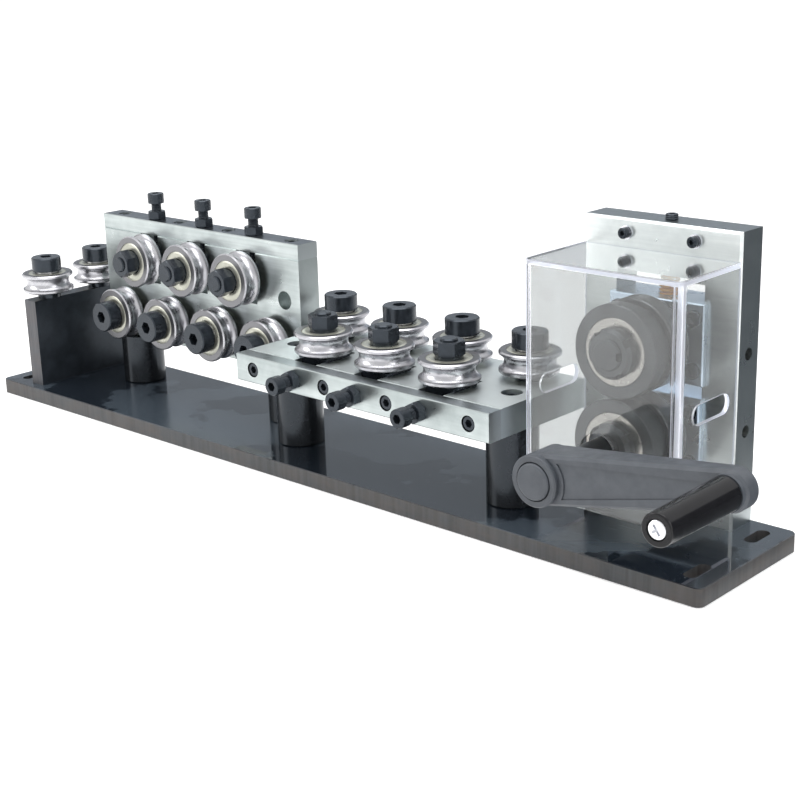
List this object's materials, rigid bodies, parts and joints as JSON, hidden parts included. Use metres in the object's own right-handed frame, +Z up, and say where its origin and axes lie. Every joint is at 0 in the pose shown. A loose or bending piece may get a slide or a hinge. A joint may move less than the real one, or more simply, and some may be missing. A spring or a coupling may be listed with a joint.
{
  "type": "wire straightener",
  "caption": "Hand-cranked bench wire straightener: a long base with an upright and a level row of grooved rollers, and two sprung feed wheels behind a clear guard.",
  "frame": {"origin": "centre of the base plate's underside", "axes": "+X along the base the way the wire travels, towards the feed wheels; +Y to the back, away from the crank; +Z up"},
  "size_m": [0.7515, 0.2157, 0.2046],
  "materials": {
    "blued_steel": "blued, fine ground",
    "plated_steel": "ground and plated",
    "blue_zinc": "blue passivated zinc",
    "black_oxide": "black oxide, satin",
    "bearing_steel": "polished",
    "wheel_steel": "black oxide, turned",
    "nickel": "bright nickel",
    "clear_acrylic": "clear, polished edges",
    "orange_enamel": "enamelled",
    "crank_black": "black, satin",
    "grip_black": "black, smooth",
    "bright_zinc": "bright zinc"
  },
  "bodies": {
    "frame": {"base_plate": "blued_steel", "base_screws": "black_oxide", "support_posts": "black_oxide", "post_screws": "black_oxide", "entry_bracket": "black_oxide", "fixed_axles": "black_oxide", "inner_races": "bearing_steel", "bar_screws": "black_oxide", "lock_nuts": "black_oxide", "upright_plate": "plated_steel", "upright_bar": "plated_steel", "level_plate": "plated_steel", "level_bar": "plated_steel", "tower_plate": "plated_steel", "tower_bridge": "black_oxide", "tower_screws": "black_oxide", "lower_bearing_block": "blue_zinc", "pressure_pad": "black_oxide", "pressure_screw": "black_oxide", "pressure_spring": "orange_enamel", "guard": "clear_acrylic"},
    "upright_fixed_roller_1": {"upright_fixed_roller_1": "bearing_steel"},
    "upright_fixed_roller_2": {"upright_fixed_roller_2": "bearing_steel"},
    "upright_fixed_roller_3": {"upright_fixed_roller_3": "bearing_steel"},
    "upright_fixed_roller_4": {"upright_fixed_roller_4": "bearing_steel"},
    "upright_slide_1": {"upright_slide_1": "black_oxide"},
    "upright_adjusting_screw_1": {"upright_adjusting_screw_1": "black_oxide"},
    "upright_adjustable_roller_1": {"upright_adjustable_roller_1": "bearing_steel"},
    "upright_slide_2": {"upright_slide_2": "black_oxide"},
    "upright_adjusting_screw_2": {"upright_adjusting_screw_2": "black_oxide"},
    "upright_adjustable_roller_2": {"upright_adjustable_roller_2": "bearing_steel"},
    "upright_slide_3": {"upright_slide_3": "black_oxide"},
    "upright_adjusting_screw_3": {"upright_adjusting_screw_3": "black_oxide"},
    "upright_adjustable_roller_3": {"upright_adjustable_roller_3": "bearing_steel"},
    "level_fixed_roller_1": {"level_fixed_roller_1": "bearing_steel"},
    "level_fixed_roller_2": {"level_fixed_roller_2": "bearing_steel"},
    "level_fixed_roller_3": {"level_fixed_roller_3": "bearing_steel"},
    "level_fixed_roller_4": {"level_fixed_roller_4": "bearing_steel"},
    "level_slide_1": {"level_slide_1": "black_oxide"},
    "level_adjusting_screw_1": {"level_adjusting_screw_1": "black_oxide"},
    "level_adjustable_roller_1": {"level_adjustable_roller_1": "bearing_steel"},
    "level_slide_2": {"level_slide_2": "black_oxide"},
    "level_adjusting_screw_2": {"level_adjusting_screw_2": "black_oxide"},
    "level_adjustable_roller_2": {"level_adjustable_roller_2": "bearing_steel"},
    "level_slide_3": {"level_slide_3": "black_oxide"},
    "level_adjusting_screw_3": {"level_adjusting_screw_3": "black_oxide"},
    "level_adjustable_roller_3": {"level_adjustable_roller_3": "bearing_steel"},
    "entry_roller_front": {"entry_roller_front": "bearing_steel"},
    "entry_roller_rear": {"entry_roller_rear": "bearing_steel"},
    "pressure_block": {"upper_bearing_block": "blue_zinc", "upper_block_screws": "black_oxide"},
    "drive": {"drive_shaft": "wheel_steel", "drive_hub": "nickel", "drive_wheel": "wheel_steel", "crank_arm": "crank_black", "grip_screw": "bright_zinc"},
    "idler": {"idler_shaft": "wheel_steel", "idler_hub": "nickel", "idler_wheel": "wheel_steel"},
    "grip": {"crank_grip": "grip_black"}
  },
  "joints": [
    {"name": "upright_fixed_roller_1_spin", "type": "hinge", "parent": "frame", "child": "upright_fixed_roller_1", "pos_m": [-0.249, 0, 0.0748], "axis": [0, -1, 0], "continuous": true},
    {"name": "upright_fixed_roller_2_spin", "type": "hinge", "parent": "frame", "child": "upright_fixed_roller_2", "pos_m": [-0.19, 0, 0.0748], "axis": [0, -1, 0], "continuous": true},
    {"name": "upright_fixed_roller_3_spin", "type": "hinge", "parent": "frame", "child": "upright_fixed_roller_3", "pos_m": [-0.131, 0, 0.0748], "axis": [0, -1, 0], "continuous": true},
    {"name": "upright_fixed_roller_4_spin", "type": "hinge", "parent": "frame", "child": "upright_fixed_roller_4", "pos_m": [-0.072, 0, 0.0748], "axis": [0, -1, 0], "continuous": true},
    {"name": "upright_slide_1_travel", "type": "slide", "parent": "frame", "child": "upright_slide_1", "axis": [0, 0, 1], "range_m": [-0.004, 0.004]},
    {"name": "upright_adjusting_screw_1_turn", "type": "hinge", "parent": "upright_slide_1", "child": "upright_adjusting_screw_1", "pos_m": [-0.2195, 0.022, 0.1542], "axis": [0, 0, 1], "range_deg": [-1152, 1152]},
    {"name": "upright_adjustable_roller_1_spin", "type": "hinge", "parent": "upright_slide_1", "child": "upright_adjustable_roller_1", "pos_m": [-0.2195, 0, 0.1228], "axis": [0, -1, 0], "continuous": true},
    {"name": "upright_slide_2_travel", "type": "slide", "parent": "frame", "child": "upright_slide_2", "axis": [0, 0, 1], "range_m": [-0.004, 0.004]},
    {"name": "upright_adjusting_screw_2_turn", "type": "hinge", "parent": "upright_slide_2", "child": "upright_adjusting_screw_2", "pos_m": [-0.1605, 0.022, 0.1542], "axis": [0, 0, 1], "range_deg": [-1152, 1152]},
    {"name": "upright_adjustable_roller_2_spin", "type": "hinge", "parent": "upright_slide_2", "child": "upright_adjustable_roller_2", "pos_m": [-0.1605, 0, 0.1228], "axis": [0, -1, 0], "continuous": true},
    {"name": "upright_slide_3_travel", "type": "slide", "parent": "frame", "child": "upright_slide_3", "axis": [0, 0, 1], "range_m": [-0.004, 0.004]},
    {"name": "upright_adjusting_screw_3_turn", "type": "hinge", "parent": "upright_slide_3", "child": "upright_adjusting_screw_3", "pos_m": [-0.1015, 0.022, 0.1542], "axis": [0, 0, 1], "range_deg": [-1152, 1152]},
    {"name": "upright_adjustable_roller_3_spin", "type": "hinge", "parent": "upright_slide_3", "child": "upright_adjustable_roller_3", "pos_m": [-0.1015, 0, 0.1228], "axis": [0, -1, 0], "continuous": true},
    {"name": "level_fixed_roller_1_spin", "type": "hinge", "parent": "frame", "child": "level_fixed_roller_1", "pos_m": [-0.011, 0.024, 0.0988], "axis": [0, 0, 1], "continuous": true},
    {"name": "level_fixed_roller_2_spin", "type": "hinge", "parent": "frame", "child": "level_fixed_roller_2", "pos_m": [0.048, 0.024, 0.0988], "axis": [0, 0, 1], "continuous": true},
    {"name": "level_fixed_roller_3_spin", "type": "hinge", "parent": "frame", "child": "level_fixed_roller_3", "pos_m": [0.107, 0.024, 0.0988], "axis": [0, 0, 1], "continuous": true},
    {"name": "level_fixed_roller_4_spin", "type": "hinge", "parent": "frame", "child": "level_fixed_roller_4", "pos_m": [0.166, 0.024, 0.0988], "axis": [0, 0, 1], "continuous": true},
    {"name": "level_slide_1_travel", "type": "slide", "parent": "frame", "child": "level_slide_1", "axis": [0, -1, 0], "range_m": [-0.004, 0.004]},
    {"name": "level_adjusting_screw_1_turn", "type": "hinge", "parent": "level_slide_1", "child": "level_adjusting_screw_1", "pos_m": [0.0185, -0.0554, 0.0768], "axis": [0, -1, 0], "range_deg": [-1152, 1152]},
    {"name": "level_adjustable_roller_1_spin", "type": "hinge", "parent": "level_slide_1", "child": "level_adjustable_roller_1", "pos_m": [0.0185, -0.024, 0.0988], "axis": [0, 0, 1], "continuous": true},
    {"name": "level_slide_2_travel", "type": "slide", "parent": "frame", "child": "level_slide_2", "axis": [0, -1, 0], "range_m": [-0.004, 0.004]},
    {"name": "level_adjusting_screw_2_turn", "type": "hinge", "parent": "level_slide_2", "child": "level_adjusting_screw_2", "pos_m": [0.0775, -0.0554, 0.0768], "axis": [0, -1, 0], "range_deg": [-1152, 1152]},
    {"name": "level_adjustable_roller_2_spin", "type": "hinge", "parent": "level_slide_2", "child": "level_adjustable_roller_2", "pos_m": [0.0775, -0.024, 0.0988], "axis": [0, 0, 1], "continuous": true},
    {"name": "level_slide_3_travel", "type": "slide", "parent": "frame", "child": "level_slide_3", "axis": [0, -1, 0], "range_m": [-0.004, 0.004]},
    {"name": "level_adjusting_screw_3_turn", "type": "hinge", "parent": "level_slide_3", "child": "level_adjusting_screw_3", "pos_m": [0.1365, -0.0554, 0.0768], "axis": [0, -1, 0], "range_deg": [-1152, 1152]},
    {"name": "level_adjustable_roller_3_spin", "type": "hinge", "parent": "level_slide_3", "child": "level_adjustable_roller_3", "pos_m": [0.1365, -0.024, 0.0988], "axis": [0, 0, 1], "continuous": true},
    {"name": "entry_roller_front_spin", "type": "hinge", "parent": "frame", "child": "entry_roller_front", "pos_m": [-0.3113, -0.0275, 0.0988], "axis": [0, 0, 1], "continuous": true},
    {"name": "entry_roller_rear_spin", "type": "hinge", "parent": "frame", "child": "entry_roller_rear", "pos_m": [-0.3113, 0.0245, 0.0988], "axis": [0, 0, 1], "continuous": true},
    {"name": "pressure_block_travel", "type": "slide", "parent": "frame", "child": "pressure_block", "axis": [0, 0, 1], "range_m": [0, 0.005], "stiffness_N_per_m": 23500, "springref_m": -0.0015, "deforming": ["pressure_spring"]},
    {"name": "crank_turn", "type": "hinge", "parent": "frame", "child": "drive", "pos_m": [0.262, 0, 0.0688], "axis": [0, 1, 0], "continuous": true},
    {"name": "idler_turn", "type": "hinge", "parent": "pressure_block", "child": "idler", "pos_m": [0.262, 0, 0.1288], "axis": [0, 1, 0], "continuous": true},
    {"name": "grip_spin", "type": "hinge", "parent": "drive", "child": "grip", "pos_m": [0.38805, -0.1277, 0.09103], "axis": [0, 1, 0], "continuous": true}
  ],
  "couplings": [
    {"joint": "upright_adjusting_screw_1_turn", "follows": "upright_slide_1_travel", "rad_per_m": 5026.5},
    {"joint": "upright_adjusting_screw_2_turn", "follows": "upright_slide_2_travel", "rad_per_m": 5026.5},
    {"joint": "upright_adjusting_screw_3_turn", "follows": "upright_slide_3_travel", "rad_per_m": 5026.5},
    {"joint": "level_adjusting_screw_1_turn", "follows": "level_slide_1_travel", "rad_per_m": 5026.5},
    {"joint": "level_adjusting_screw_2_turn", "follows": "level_slide_2_travel", "rad_per_m": 5026.5},
    {"joint": "level_adjusting_screw_3_turn", "follows": "level_slide_3_travel", "rad_per_m": 5026.5},
    {"joint": "idler_turn", "follows": "crank_turn", "ratio": -1}
  ]
}
